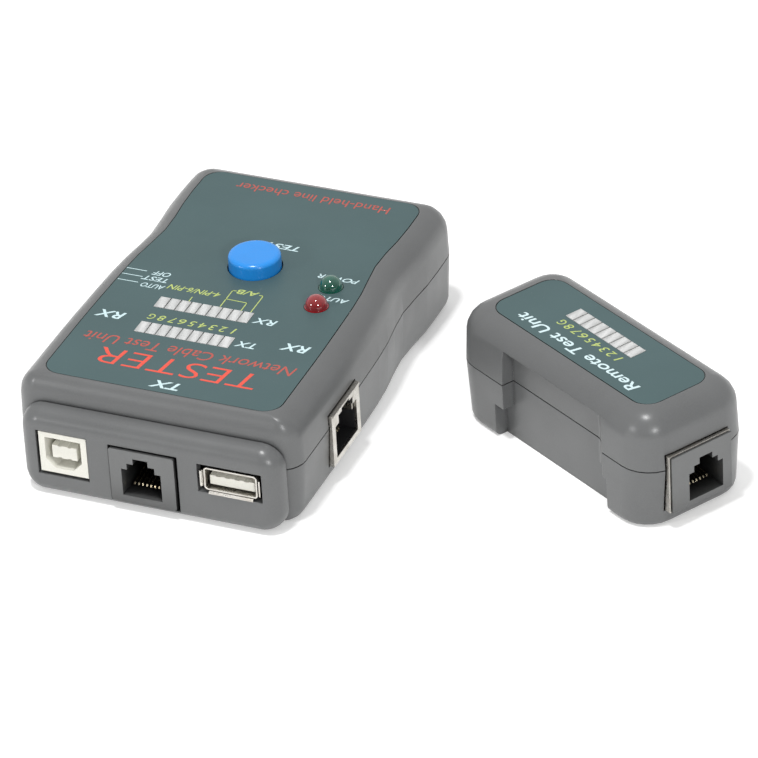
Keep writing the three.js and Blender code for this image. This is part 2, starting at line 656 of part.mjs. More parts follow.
function shieldedCan(halfWide, z0, z1, depth, steps, mouthZ, wall = 0.4) {
  const can = without(box(-halfWide, halfWide, 0, depth, z0, z1),
    box(-halfWide + wall, halfWide - wall, wall + 0.2, depth - wall, z0 + wall, z1 - wall));
  const topFold = box(-halfWide + 0.3, halfWide - 0.3, -0.35, 0.2, z1 - 0.5, z1);
  return without(union(can, topFold), mouth(steps, mouthZ, 1));
}

const shieldFinger = box(5.2, 7.7, 0.8, 5.6, 12.1, 14.1);
addPart("rx_jack_shield", union(
  shieldedCan(SIDE_JACK_HALF, SIDE_JACK_Z0, SIDE_JACK_Z1, 15.8, SHIELDED_STEPS, SHIELDED_Z),
  shieldFinger,
), NICKEL, 0.28, 0.9, rightJackPlace);
addPart("rx_jack_insert", without(
  box(-7.5, 7.5, 0.7, 15.3, SIDE_JACK_Z0 + 0.5, SIDE_JACK_Z1 - 0.5),
  mouth(SHIELDED_STEPS, SHIELDED_Z, 12.6),
  box(4.9, 8, 0.5, 5.9, 11.8, 14.4),
), 0x141416, 0.5, 0, rightJackPlace);
addPart("rx_jack_contacts", jackContacts(SHIELDED_Z), 0xd8b45a, 0.3, 0.9, rightJackPlace);

const LEFT_JACK = {
  plateX0: -8, plateX1: 8, plateZ0: SIDE_JACK_Z0, plateZ1: SIDE_JACK_Z1, openingX: 0, openingZ: 6.4,
};
addPart("left_jack", modularHousing(LEFT_JACK), SHELL_GREY, 0.5, 0, leftJackPlace);
addPart("left_jack_contacts", jackContacts(LEFT_JACK.openingZ), 0xd8b45a, 0.3, 0.9, leftJackPlace);

// ------------------------------------------------------------------ main unit: mode switch
const switchWallX = -halfWidth(switchMiddleY);
addPart("mode_switch_body", without(
  box(switchWallX + 3.9, switchWallX + 9.7, switchMiddleY - 6.4, switchMiddleY + 6.4,
    SWITCH_Z - 2.9, BOARD_BOTTOM_Z - 0.1),
  box(switchWallX + 3, switchWallX + 7.6, switchMiddleY - 4.8, switchMiddleY + 4.8,
    SWITCH_Z - 1.5, SWITCH_Z + 1.5),
), NICKEL, 0.35, 0.8);
addPart("mode_switch_knob", without(
  union(
    box(switchWallX - 1.6, switchWallX + 4, SWITCH_Y - 1.7, SWITCH_Y + 1.7,
      SWITCH_Z - 1.25, SWITCH_Z + 1.25),
    box(switchWallX + 3.5, switchWallX + 7.1, SWITCH_Y - 1.9, SWITCH_Y + 1.9,
      SWITCH_Z - 1.25, SWITCH_Z + 1.25),
  ),
  ...[-1, 0, 1].map((step) => box(switchWallX - 3, switchWallX - 1.15,
    SWITCH_Y + step - 0.22, SWITCH_Y + step + 0.22, SWITCH_Z - 3, SWITCH_Z + 3)),
), 0x151517);

// ------------------------------------------------------------------ main unit: battery
const gripGrooves = [0, 1, 2, 3].map((i) => (
  box(-8, 8, 94 + 2 * i, 94.8 + 2 * i, -1, 0.5)));
addPart("battery_door", without(union(
  mainBodies.outer.intersect(box(-DOOR_HALF_WIDTH, DOOR_HALF_WIDTH, DOOR_FRONT_Y, 120,
    -1, DOOR_THICKNESS)),
  box(-DOOR_HALF_WIDTH - 1.1, DOOR_HALF_WIDTH + 1.1, DOOR_FRONT_Y + 2, BODY_BACK_Y - 4, 1.05, 1.55),
), ...gripGrooves), SHELL_GREY);

const { length, depth, height, x: batteryX, y: batteryY, z: batteryZ } = BATTERY;
addPart("battery", prism(roundedRectangle(batteryX - length / 2, batteryX + length / 2,
  batteryY - depth / 2, batteryY + depth / 2, 1.5, 3), batteryZ, batteryZ + height), 0x2b2b30, 0.4);
const snapX = batteryX + length / 2;
addPart("battery_snap", union(
  box(snapX + 0.2, snapX + 2.2, batteryY - 12, batteryY + 12, batteryZ + 2, batteryZ + 15),
  box(snapX + 2, snapX + 4.6, batteryY - 9, batteryY - 3.5, batteryZ + 5.5, batteryZ + 11.5),
  box(snapX + 2, snapX + 4.6, batteryY + 3.5, batteryY + 9, batteryZ + 5.5, batteryZ + 11.5),
), 0x141414, 0.6);

// A round lead through its way-points.
function lead(points, radius) {
  const path = new THREE.CatmullRomCurve3(points.map(([x, y, z]) => new THREE.Vector3(x, y, z)));
  const steps = 28;
  const frames = path.computeFrenetFrames(steps, false);
  const rings = [];
  for (let i = 0; i <= steps; i += 1) {
    const middle = path.getPointAt(i / steps);
    rings.push(Array.from({ length: 8 }, (unused, k) => {
      const angle = 2 * Math.PI * k / 8;
      return middle.clone()
        .addScaledVector(frames.normals[i], radius * Math.cos(angle))
        .addScaledVector(frames.binormals[i], radius * Math.sin(angle));
    }));
  }
  return rings;
}

// Closes a bent tube with a fan at each end.
function tube(rings) {
  const positions = rings.flat().flatMap((p) => [p.x, p.y, p.z]);
  const count = rings[0].length;
  const index = [];
  for (let ring = 0; ring + 1 < rings.length; ring += 1) {
    for (let i = 0; i < count; i += 1) {
      const a = ring * count + i;
      const b = ring * count + (i + 1) % count;
      index.push(a, b, b + count, a, b + count, a + count);
    }
  }
  const last = (rings.length - 1) * count;
  for (let i = 1; i + 1 < count; i += 1) {
    index.push(0, i + 1, i, last, last + i, last + i + 1);
  }
  const geometry = new THREE.BufferGeometry();
  geometry.setAttribute("position", new THREE.Float32BufferAttribute(positions, 3));
  geometry.setIndex(signedVolume(positions, index) > 0 ? index : index.reverse());
  return solid(geometry);
}

addPart("battery_lead_red", tube(lead([[23.4, 83.2, 18.4], [23.4, 80, 19.8], [22.6, 76, 22.2],
  [20.6, 72, 23.3], [18.4, 68.4, 23], [17.6, 66.6, 21.15]], 0.6)), 0xb01818);
addPart("battery_lead_black", tube(lead([[23.4, 95, 18.4], [24.4, 91, 20.4], [25.4, 83, 22.2],
  [24.8, 76, 23.4], [20.8, 70.6, 24.7], [15.6, 68.4, 24.2], [14, 67.4, 21.15]], 0.6)), 0x121212);

// ------------------------------------------------------------------ remote terminator
const remoteBodies = shellBodies(remoteOutline, REMOTE.height, {
  parting: REMOTE.parting,
  upperDraft: REMOTE_UPPER_DRAFT,
  lowerDraft: REMOTE_LOWER_DRAFT,
  bottomRounding: REMOTE_BOTTOM_ROUNDING,
});
const nearWall = -REMOTE.width / 2;
const recessFloor = nearWall + RECESS_DEPTH;

// The dock recess: a square left end, and a right end that swells back out in an S.
function recessOutline() {
  const right = RECESS_X + RECESS_HALF_WIDTH;
  const swell = [];
  for (let i = 0; i <= 8; i += 1) {
    const t = i / 8;
    swell.push([right + 3.6 - 7.2 * t, nearWall - 0.4
      + (RECESS_DEPTH + 0.4) * (0.5 - 0.5 * Math.cos(Math.PI * t))]);
  }
  return [[RECESS_X - RECESS_HALF_WIDTH, nearWall - 3], [right + 3.6, nearWall - 3],
    ...swell, [RECESS_X - RECESS_HALF_WIDTH, recessFloor]];
}

const recess = union(
  prism(recessOutline(), -1, RECESS_TOP_Z),
  box(RECESS_X - NOTCH_HALF_WIDTH, RECESS_X + NOTCH_HALF_WIDTH, nearWall - 3, recessFloor,
    -1, NOTCH_TOP_Z),
);
const recessBacking = box(RECESS_X - NOTCH_HALF_WIDTH - 2, RECESS_X + NOTCH_HALF_WIDTH + 2,
  nearWall + 1, recessFloor + 2, 1, RECESS_TOP_Z + 1.8);

const REMOTE_OPENING_Y = 0.8;
const REMOTE_OPENING_Z = 5.75;
const remoteJackPlace = remotePlace.clone()
  .multiply(turnedAboutZ(90, REMOTE.length / 2 + REMOTE_JACK_PROUD, 0));
const remoteJackHole = box(REMOTE.length / 2 - 17, REMOTE.length / 2 + 5, -9.8, 8.5, 4.2, 19.8);

const remoteLabelOutline = (grow) => roundedRectangle(-28.5 - grow, 28.5 + grow,
  -9.75 - grow, 9.75 + grow, 4.2 + grow);
const REMOTE_BAR_X = -1.55;
const REMOTE_BAR_Y = 3.13;

const remoteUpper = without(
  remoteBodies.outer.intersect(above(REMOTE.parting + SEAM_GAP / 2)),
  remoteBodies.hollowUpper,
);
const remoteUpperPosts = screwColumns(REMOTE_POSTS, POST_RADIUS, REMOTE.parting + 5.8,
  REMOTE.height - 1.5);
addPart("remote_top_shell", without(
  union(remoteUpper, remoteUpperPosts,
    recessBacking.intersect(remoteBodies.outer).intersect(above(REMOTE.parting + SEAM_GAP / 2))),
  prism(remoteLabelOutline(LABEL_GAP), REMOTE.height - LABEL_THICKNESS - 0.1, REMOTE.height + 5),
  barHole(REMOTE_BAR_X, REMOTE_BAR_Y, REMOTE.height - 5, REMOTE.height + 5, 0.2),
  remoteJackHole,
  recess,
  screwColumns(REMOTE_POSTS, 1.1, REMOTE.parting, REMOTE.height - 5),
), SHELL_GREY, 0.55, 0, remotePlace);

addPart("remote_bottom_shell", without(
  union(
    without(remoteBodies.outer.intersect(below(REMOTE.parting - SEAM_GAP / 2)),
      remoteBodies.hollowLower),
    without(remoteBodies.lip, box(-30, 30, -20, recessFloor + 2.4, 0, 30)),
    screwColumns(REMOTE_POSTS, POST_RADIUS + 0.5, 1, REMOTE.parting + 2.5),
    recessBacking.intersect(remoteBodies.outer).intersect(below(REMOTE.parting - SEAM_GAP / 2)),
  ),
  remoteJackHole,
  recess,
  screwColumns(REMOTE_POSTS, 1.5, -1, REMOTE.parting + 4),
  screwColumns(REMOTE_POSTS, 2.4, -1, 4),
), SHELL_GREY, 0.55, 0, remotePlace);

addPart("remote_label", without(
  prism(remoteLabelOutline(0), REMOTE.height - LABEL_THICKNESS - 0.05, REMOTE.height - 0.05),
  barHole(REMOTE_BAR_X, REMOTE_BAR_Y, REMOTE.height - 5, REMOTE.height + 5, 0.05),
), LABEL_GREEN, 0.4, 0, remotePlace);

addPart("remote_light_bar", windowBar(REMOTE_BAR_X, REMOTE_BAR_Y,
  REMOTE_BOARD_Z + BOARD_THICKNESS + 0.05, REMOTE.height + 0.05), 0xe8eaea, 0.35, 0, remotePlace);

addPart("remote_board", without(
  box(-21, 30, -8.6, 9.4, REMOTE_BOARD_Z, REMOTE_BOARD_Z + BOARD_THICKNESS),
  screwColumns(REMOTE_POSTS, 2.1, 10, 25),
), 0x1f5a34, 0.5, 0, remotePlace);
addPart("remote_chip", box(-18, -9, -6.5, -0.5, REMOTE_BOARD_Z + BOARD_THICKNESS + 0.05,
  REMOTE_BOARD_Z + BOARD_THICKNESS + 2.6), 0x18181a, 0.5, 0, remotePlace);

addPart("remote_jack_shield", without(
  box(-9.5, 8.2, 0, 15.8, 4.5, 19.55),
  box(-9.1, 7.8, -1, 15.4, 4.9, 19.15),
), NICKEL, 0.28, 0.9, remoteJackPlace);
const remoteJackFlange = box(-9, 8.3, -0.5, -0.04, 4.4, 19.1);
addPart("remote_jack", without(
  union(box(-8.8, 7.5, -0.5, 15.1, 5.1, 18.9), remoteJackFlange),
  mouth(JACK_STEPS, REMOTE_OPENING_Z, 12.4, REMOTE_OPENING_Y),
), SHELL_GREY, 0.5, 0, remoteJackPlace);
addPart("remote_jack_contacts", jackContacts(REMOTE_OPENING_Z, REMOTE_OPENING_Y),
  0xd8b45a, 0.3, 0.9, remoteJackPlace);
REMOTE_POSTS.forEach(([x, y], i) => {
  addPart(`remote_screw_${i + 1}`, caseScrew(x, y, 2.3, 20.7), NICKEL, 0.35, 0.9, remotePlace);
});

export default tester;
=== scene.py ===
"""Looks of the network cable tester: finishes, printed lettering, floor, lights and camera.

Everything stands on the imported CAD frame. Lengths are metres in the frame's axes, and most are
written as a number of millimetres times MM. Only the lettering is laid out in plain millimetres,
as the names ending in _MM and the comments over its tables say. Colours are linear RGB.
"""
import json
import math

import bmesh
import bpy
from mathutils import Matrix, Vector


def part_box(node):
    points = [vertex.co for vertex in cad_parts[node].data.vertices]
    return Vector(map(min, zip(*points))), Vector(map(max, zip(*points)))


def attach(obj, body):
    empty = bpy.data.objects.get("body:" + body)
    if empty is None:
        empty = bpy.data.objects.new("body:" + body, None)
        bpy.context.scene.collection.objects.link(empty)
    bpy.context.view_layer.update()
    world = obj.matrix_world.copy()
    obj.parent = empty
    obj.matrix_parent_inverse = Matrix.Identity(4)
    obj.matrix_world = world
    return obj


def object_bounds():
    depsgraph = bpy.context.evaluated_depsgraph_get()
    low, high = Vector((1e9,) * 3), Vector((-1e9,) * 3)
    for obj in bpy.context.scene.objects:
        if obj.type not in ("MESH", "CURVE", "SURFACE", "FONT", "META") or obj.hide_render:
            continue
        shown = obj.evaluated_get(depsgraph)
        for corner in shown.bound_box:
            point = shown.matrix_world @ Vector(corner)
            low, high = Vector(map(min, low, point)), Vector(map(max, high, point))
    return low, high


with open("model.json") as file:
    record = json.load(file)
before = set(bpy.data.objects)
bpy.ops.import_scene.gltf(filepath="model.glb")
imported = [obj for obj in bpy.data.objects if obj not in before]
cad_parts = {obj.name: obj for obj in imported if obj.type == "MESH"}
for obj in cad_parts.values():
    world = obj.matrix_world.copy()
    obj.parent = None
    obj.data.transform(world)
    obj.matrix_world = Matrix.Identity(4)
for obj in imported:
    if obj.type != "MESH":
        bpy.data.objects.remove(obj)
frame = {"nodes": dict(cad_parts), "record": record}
cad_low, cad_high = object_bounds()

MM = 0.001

# ---- camera, as the photograph was taken; angles in degrees ----
CAMERA_LOOK_AT = Vector((0.028728, 0.014512, 0.0))
CAMERA_DISTANCE = 1.32209
CAMERA_AZIMUTH = 24.116
CAMERA_ELEVATION = 33.082
CAMERA_ROLL = -3.356
CAMERA_LENS_MM = 265.58
CAMERA_SENSOR_MM = 36.0

# ---- lights: name, direction from the object, distance, radius, power in watts ----
LIGHTS = (
    ("light_overhead", (-0.06, -0.18, 0.98), 1.30, 0.075, 8.5),
    ("light_left", (-0.60, -0.74, 0.36), 1.40, 0.075, 3.2),
    ("light_right", (0.60, -0.66, 0.46), 1.40, 0.075, 5.6),
)

# ---- the room: dim all round, rising towards its bright side once the cosine passes the start ----
WORLD_DIM = (0.20, 0.20, 0.20)
WORLD_BRIGHT = (0.80, 0.80, 0.80)
WORLD_BRIGHT_SIDE = (-0.30, 0.75, 0.60)
WORLD_FADE_START = -0.6

# ---- floor: a hair below the object, so that their faces don't lie in one plane ----
FLOOR_GLOW = 0.30
FLOOR_HALF_SIZE = 4.0
FLOOR_GAP = 0.02 * MM
FLOOR_COLOUR = (0.88, 0.88, 0.875)
FLOOR_FIBRE_SHADE = 0.995

# ---- shading of CAD meshes: vertices this close are one, edges past this angle stay sharp ----
WELD_DISTANCE = 1e-6
SHARP_ANGLE = 34.0
FLAT_FACE_WEIGHT = 50

# ---- shader nodes: the span that noise mostly keeps to, samples of bevels and occlusion, how far
# a normal turns where an edge starts and where it is full, and the mix node's sockets ----
NOISE_SPAN = (0.3, 0.7)
SHADER_SAMPLES = 4
EDGE_SPAN = (0.02, 0.22)
MIX_FACTOR = 0
MIX_FIRST = 6
MIX_SECOND = 7
MIX_RESULT = 2

# ---- finishes: the painted shade that darkens seams unless a finish says otherwise, how much
# smoother rubbed plastic is, and the unit of the board's track pattern ----
SEAM_PAINTED_SHADE = {"reach": 1.6 * MM}
RUBBED_POLISH = 0.12
TRACK_PATTERN_SIZE = 1 / 300

# ---- colours: each plastic with the paler tone of its rubbed edges ----
SHELL_GREY = (0.121, 0.124, 0.125)
SHELL_RUBBED = (0.23, 0.235, 0.235)
SOCKET_GREY = (0.136, 0.139, 0.139)
SOCKET_RUBBED = (0.24, 0.245, 0.245)
BLACK = (0.013, 0.013, 0.014)
BLACK_RUBBED = (0.06, 0.06, 0.062)
IVORY = (0.70, 0.69, 0.625)
IVORY_RUBBED = (0.80, 0.79, 0.74)
JACKET_BLACK = (0.022, 0.022, 0.028)
JACKET_RUBBED = (0.12, 0.12, 0.12)
LEAD_RED = (0.42, 0.012, 0.012)
LEAD_BLACK = (0.012, 0.012, 0.012)
BUTTON_BLUE = (0.012, 0.262, 0.760)
BUTTON_RUBBED = (0.06, 0.36, 0.88)
LABEL_GREEN = (0.063, 0.110, 0.114)
LABEL_RUBBED = (0.16, 0.21, 0.21)
LABEL_DUST = (0.22, 0.27, 0.27)
WINDOW_PALE = (0.66, 0.665, 0.66)
WINDOW_DULL = (0.56, 0.57, 0.565)
WINDOW_WALL = (0.40, 0.405, 0.40)
WINDOW_RUBBED = (0.60, 0.61, 0.60)
LAMP_GREEN_DEEP = (0.002, 0.060, 0.038)
LAMP_GREEN_RIM = (0.006, 0.13, 0.085)
LAMP_RED_DEEP = (0.19, 0.003, 0.006)
LAMP_RED_RIM = (0.34, 0.008, 0.014)
BOARD_LACQUER = (0.020, 0.110, 0.050)
BOARD_TRACK = (0.045, 0.210, 0.085)
BOARD_WEAVE = (0.03, 0.15, 0.07)
NICKEL = (0.66, 0.64, 0.60)
NICKEL_TARNISH = (0.50, 0.47, 0.42)
GOLD = (0.86, 0.76, 0.55)
GOLD_TARNISH = (0.7, 0.58, 0.38)
INK_WHITE = (0.62, 0.80, 0.83)
INK_REMOTE_WHITE = (0.66, 0.82, 0.85)
INK_YELLOW = (0.50, 0.60, 0.17)
INK_RED = (0.80, 0.085, 0.050)
INK_DULL_RED = (0.47, 0.085, 0.065)

# ---- the bars of light windows: each one's turn, and the walls between its windows ----
REMOTE_TURN = -30.7
LIGHT_BAR_TURNS = {"tx_light_bar": 0.0, "rx_light_bar": 0.0, "remote_light_bar": REMOTE_TURN}
WINDOWS = 9
tx_bar_low, tx_bar_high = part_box("tx_light_bar")
WINDOW_PITCH = (tx_bar_high.x - tx_bar_low.x) / WINDOWS
# A wall shifts along the bar by this much of the way across it.
WALL_LEAN = 0.22
# Where a wall's grey starts and is full, from a window's middle, as a part of the pitch.
WALL_SPAN = (0.14, 0.46)
WALL_STRENGTH = 0.80
STREAK_GRID_TURN = 24.0

# ---- lettering: the ink, and slants and weights as Blender's text curves take them ----
INK_THICKNESS_MM = 0.03
INK_SINK_MM = 0.01
LETTER_TURN = 180.0
CURVE_STEPS = 4
LETTER_HALF_DEPTH = 0.5
INK_WELD_DISTANCE = 1e-7
LEGEND_SLANT = 0.28
DIGIT_SLANT = 0.20
SUBTITLE_SLANT = 0.20
TITLE_SLANT = 0.12
REMOTE_SLANT = 0.18
PORT_WEIGHT = 0.020
LEGEND_WEIGHT = 0.014
REMOTE_WEIGHT = 0.012
FINE_WEIGHT = 0.006
TITLE_WEIGHT = -0.012

# ---- layout of the main label, in millimetres. x is from its centre line, y from the connector
# face, which is this far in front of the label's front edge. Words have their middle and their
# size given as x, y, width and capital height. ----
MAIN_LABEL = "main_label"
LABEL_SETBACK_MM = 9.0
LEGENDS = (
    ("TX", 0.65, 12.0, 7.3, 2.9, PORT_WEIGHT),
    ("RX", -23.9, 35.7, 7.2, 2.9, PORT_WEIGHT),
    ("RX", 23.0, 35.4, 7.0, 2.9, PORT_WEIGHT),
    ("TX", 11.45, 33.2, 5.0, 2.3, LEGEND_WEIGHT),
    ("RX", 11.85, 43.6, 5.8, 2.3, LEGEND_WEIGHT),
    ("TEST", 2.3, 75.3, 9.6, 2.1, LEGEND_WEIGHT),
    ("POWER", 20.95, 66.1, 10.2, 1.75, LEGEND_WEIGHT),
    ("AUTO", 22.95, 57.4, 8.2, 1.75, LEGEND_WEIGHT),
)
# The switch's words: text, x, y, width, and the y of the rule that points at the knob.
SWITCH_LEGENDS = (
    ("OFF", -19.7, 55.4, 4.6, 55.55),
    ("TEST", -20.3, 52.9, 6.6, 53.0),
    ("AUTO", -19.5, 49.9, 6.0, 50.4),
)
SWITCH_LETTER_HEIGHT_MM = 1.8
SWITCH_RULE_ENDS_MM = (-28.6, -23.6)
SWITCH_RULE_WIDTH_MM = 0.22
# The bracket over the pin numbers: where each of its lines starts and ends.
BRACKET_LINES = (
    ((7.05, 46.4), (7.05, 53.8)),
    ((-0.75, 46.6), (-0.75, 53.9)),
    ((4.6, 46.5), (4.6, 49.9)),
    ((-0.75, 50.0), (4.6, 49.9)),
    ((-8.65, 46.1), (-8.65, 48.3)),
    ((-0.75, 53.9), (0.15, 53.9)),
    ((6.15, 53.8), (7.05, 53.8)),
)
BRACKET_WIDTH_MM = 0.24

# ---- pin numbers, from the left end of the row as it stands in the frame, in millimetres ----
DIGITS = "G87654321"
DIGIT_HEIGHT_MM = 2.2
NARROW_ONE = 0.55

# ---- layout of the remote's label, in millimetres from its middle ----
REMOTE_LABEL = "remote_label"


# ------------------------------------------------------------------ node helpers
class Finish:
    """One procedural material: a principled shader with helpers for the nodes that feed it.

    A source is a node together with the name or number of the output that is used.
    """

    def __init__(self, name):
        self.material = bpy.data.materials.new(name)
        self.material.use_nodes = True
        self.tree = self.material.node_tree
        self.tree.nodes.clear()
        self.shader = self.add("ShaderNodeBsdfPrincipled")
        output = self.add("ShaderNodeOutputMaterial")
        self.join(self.shader, "BSDF", output, "Surface")
        self.place = self.add("ShaderNodeTexCoord")

    def add(self, kind, settings=None, **inputs):
        node = self.tree.nodes.new(kind)
        for name, value in (settings or {}).items():
            setattr(node, name, value)
        for name, value in inputs.items():
            node.inputs[name.replace("_", " ")].default_value = value
        return node

    def join(self, source, output, target, socket):
        self.tree.links.new(source.outputs[output], target.inputs[socket])

    def set(self, **inputs):
        """Values that are the same all over the surface go on the shader's own sockets."""
        for name, value in inputs.items():
            self.shader.inputs[name.replace("_", " ")].default_value = value

    def noise(self, size, detail, roughness=0.5, stretch=(1, 1, 1), grid_turn=0.0):
        """Noise whose features are about that size, and shorter along an axis stretched above 1.

        The grid turns after the stretch, so the features still run along the object's axes.
        """
        mapping = self.add("ShaderNodeMapping", Scale=stretch,
                           Rotation=(0, 0, math.radians(grid_turn)))
        self.join(self.place, "Object", mapping, "Vector")
        node = self.add("ShaderNodeTexNoise", Scale=1 / size, Detail=detail, Roughness=roughness)
        self.join(mapping, "Vector", node, "Vector")
        return node, "Fac"

    def spread(self, source, span, to=(0.0, 1.0)):
        """Maps a source's span onto another one, clamped at its ends."""
        node = self.add("ShaderNodeMapRange")
        node.inputs["From Min"].default_value = span[0]
        node.inputs["From Max"].default_value = span[1]
        node.inputs["To Min"].default_value = to[0]
        node.inputs["To Max"].default_value = to[1]
        self.join(*source, node, "Value")
        return node, "Result"

    def vary(self, noise, to=(0.0, 1.0)):
        """A value that wanders over a span as the noise does."""
        return self.spread(noise, NOISE_SPAN, to)

    def blend(self, factor, first, second, mode="MIX"):
        """Mixes two colours, each a constant or a source, by a factor source or number."""
        node = self.add("ShaderNodeMix", {"data_type": "RGBA", "blend_type": mode})
        for socket, value in ((MIX_FACTOR, factor), (MIX_FIRST, first), (MIX_SECOND, second)):
            if isinstance(value, tuple) and isinstance(value[0], bpy.types.Node):
                self.join(*value, node, socket)
            elif socket == MIX_FACTOR:
                node.inputs[socket].default_value = value
            else:
                node.inputs[socket].default_value = (*value, 1.0)
        return node, MIX_RESULT

    def calculate(self, operation, first, second=0.0):
        """Arithmetic on one or two values, each a number or a source."""
        node = self.add("ShaderNodeMath", {"operation": operation})
        for i, value in enumerate((first, second)):
            if isinstance(value, tuple):
                self.join(*value, node, i)
            else:
                node.inputs[i].default_value = value
        return node, "Value"

    def edges(self, radius):
        """How close a point is to a sharp edge, from 0 to 1, and the normal softened there."""
        softened = self.add("ShaderNodeBevel", {"samples": SHADER_SAMPLES}, Radius=radius)
        flat = self.add("ShaderNodeNewGeometry")
        dot = self.add("ShaderNodeVectorMath", {"operation": "DOT_PRODUCT"})
        self.join(softened, "Normal", dot, 0)
        self.join(flat, "Normal", dot, 1)
        turned = self.calculate("SUBTRACT", 1.0, (dot, "Value"))
        return self.spread(turned, EDGE_SPAN), softened

    def painted_shade(self, reach, darkest=0.08, shut=0.12, clear=0.62):
        """Painted shade, from occlusion: falls from 1 to its darkest as walls within the reach
        close in, from clear to shut.
        """
        node = self.add("ShaderNodeAmbientOcclusion", {"samples": SHADER_SAMPLES}, Distance=reach)
        return self.spread((node, "AO"), (shut, clear), (darkest, 1.0))

    def bump(self, source, depth, normal=None):
        """Relief of that depth, on top of an earlier normal if there is one."""
        node = self.add("ShaderNodeBump", Strength=1.0, Distance=depth)
        self.join(*source, node, "Height")
        if normal is not None:
            self.join(normal, "Normal", node, "Normal")
        return node

    def colour(self, source, painted_shade=None):
        """The surface's colour, with painted shade darkening it where light doesn't reach."""
        if painted_shade is not None:
            source = self.blend(1.0, source, painted_shade, "MULTIPLY")
        self.join(*source, self.shader, "Base Color")

    def roughness(self, source):
        self.join(*source, self.shader, "Roughness")

    def normal(self, node):
        self.join(node, "Normal", self.shader, "Normal")


def shade(colour, factor):
    """The colour made lighter or darker."""
    return tuple(min(1.0, channel * factor) for channel in colour)


def around(middle, below, above):
    """A span that reaches that far below and above its middle."""
    return middle - below, middle + above


# ------------------------------------------------------------------ one function per finish
def moulded(name, colour, rubbed_colour, rough, grain, relief, edge, mottle=0.06,
            painted_shade=SEAM_PAINTED_SHADE):
    """Moulded plastic: spark-eroded grain, faint mottling, handling marks and rubbed edges.

    Its seams are darkened by painted shade.
    """
    finish = Finish(name)
    clouds = finish.noise(size=9 * MM, detail=4)
    specks = finish.noise(size=grain, detail=2, roughness=0.6)
    scuffs = finish.noise(size=1.4 * MM, detail=4, roughness=0.7)
    handling = finish.noise(size=16 * MM, detail=5, roughness=0.62)
    edges, softened = finish.edges(edge)
    rubbed = finish.calculate("MULTIPLY", edges, finish.spread(scuffs, (0.42, 0.66), (0.1, 1.0)))

    tone = finish.blend(finish.vary(clouds), shade(colour, 1 - mottle), shade(colour, 1 + mottle))
    tone = finish.blend(finish.spread(specks, (0.25, 0.75)), tone, shade(colour, 1.12))
    tone = finish.blend(rubbed, tone, rubbed_colour)
    finish.colour(tone, finish.painted_shade(**painted_shade))

    handled = finish.vary(handling, around(rough, 0.05, 0.06))
    polish = finish.calculate("MULTIPLY", rubbed, RUBBED_POLISH)
    finish.roughness(finish.calculate("SUBTRACT", handled, polish))
    finish.normal(finish.bump(specks, relief, softened))
    return finish.material


def shell_plastic():
    return moulded("shell_grey", SHELL_GREY, SHELL_RUBBED, rough=0.33, grain=0.32 * MM,
                   relief=0.008 * MM, edge=0.28 * MM)


def socket_plastic():
    """The jacks' housing: shell grey on its face, with painted shade that turns it black down
    the bore.
    """
    return moulded("socket_grey", SOCKET_GREY, SOCKET_RUBBED, rough=0.42, grain=0.3 * MM,
                   relief=0.008 * MM, edge=0.15 * MM,
                   painted_shade={"reach": 11 * MM, "darkest": 0.03, "shut": 0.30, "clear": 0.92})


def black_plastic():
    return moulded("black_plastic", BLACK, BLACK_RUBBED, rough=0.42, grain=0.25 * MM,
                   relief=0.008 * MM, edge=0.12 * MM)


def ivory_plastic():
    """The type B socket: its cavity stays pale, because the plastic lets light through.

    Painted shade darkens the cavity only a little.
    """
    return moulded("ivory", IVORY, IVORY_RUBBED, rough=0.38, grain=0.3 * MM, relief=0.006 * MM,
                   edge=0.12 * MM, mottle=0.03, painted_shade={"reach": 0.7 * MM, "darkest": 0.66})


def battery_jacket():
    return moulded("battery_jacket", JACKET_BLACK, JACKET_RUBBED, rough=0.3, grain=0.5 * MM,
                   relief=0.006 * MM, edge=0.3 * MM, mottle=0.12)


def insulation(name, colour):
    return moulded(name, colour, shade(colour, 1.5), rough=0.45, grain=0.4 * MM,
                   relief=0.01 * MM, edge=0.1 * MM)


def printed_label():
    """Slate-green film, screen printed on its back: smooth, with a faint pebble and dust."""
    finish = Finish("label_green")
    clouds = finish.noise(size=22 * MM, detail=3)
    dust = finish.noise(size=0.35 * MM, detail=2, roughness=0.7)
    sheen = finish.noise(size=12 * MM, detail=5, roughness=0.6)
    pebble = finish.noise(size=0.55 * MM, detail=2)
    edges, softened = finish.edges(0.12 * MM)

    tone = finish.blend(finish.vary(clouds), shade(LABEL_GREEN, 0.95), shade(LABEL_GREEN, 1.05))
    tone = finish.blend(finish.spread(dust, (0.66, 0.80), (0.0, 0.28)), tone, LABEL_DUST)
    tone = finish.blend(edges, tone, LABEL_RUBBED)
    # Painted shade darkens the film where walls close in.
    finish.colour(tone, finish.painted_shade(reach=0.8 * MM))
    finish.roughness(finish.vary(sheen, (0.42, 0.49)))
    finish.normal(finish.bump(pebble, 0.004 * MM, softened))
    finish.set(Specular_IOR_Level=0.34)
    return finish.material


def window_walls(finish, node, turn):
    """Rises from 0 inside each window of a light bar to the wall strength at its two sides."""
    low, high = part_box(node)
    middle = Matrix.Rotation(math.radians(-turn), 3, "Z") @ ((low + high) / 2)
    along_bar = finish.add("ShaderNodeMapping", Rotation=(0, 0, math.radians(-turn)),
                           Location=(-middle.x, -middle.y, 0))
    finish.join(finish.place, "Object", along_bar, "Vector")
    parts = finish.add("ShaderNodeSeparateXYZ")
    finish.join(along_bar, "Vector", parts, 0)
    shift = finish.calculate("MULTIPLY", (parts, "Y"), WALL_LEAN)
    leaning = finish.calculate("ADD", (parts, "X"), shift)
    windows = finish.calculate("DIVIDE", leaning, WINDOW_PITCH)
    half = 0.5
    across = finish.calculate("FRACT", finish.calculate("ADD", windows, half))
    off_centre = finish.calculate("ABSOLUTE", finish.calculate("SUBTRACT", across, half))
    return finish.spread(off_centre, WALL_SPAN, (0.0, WALL_STRENGTH))


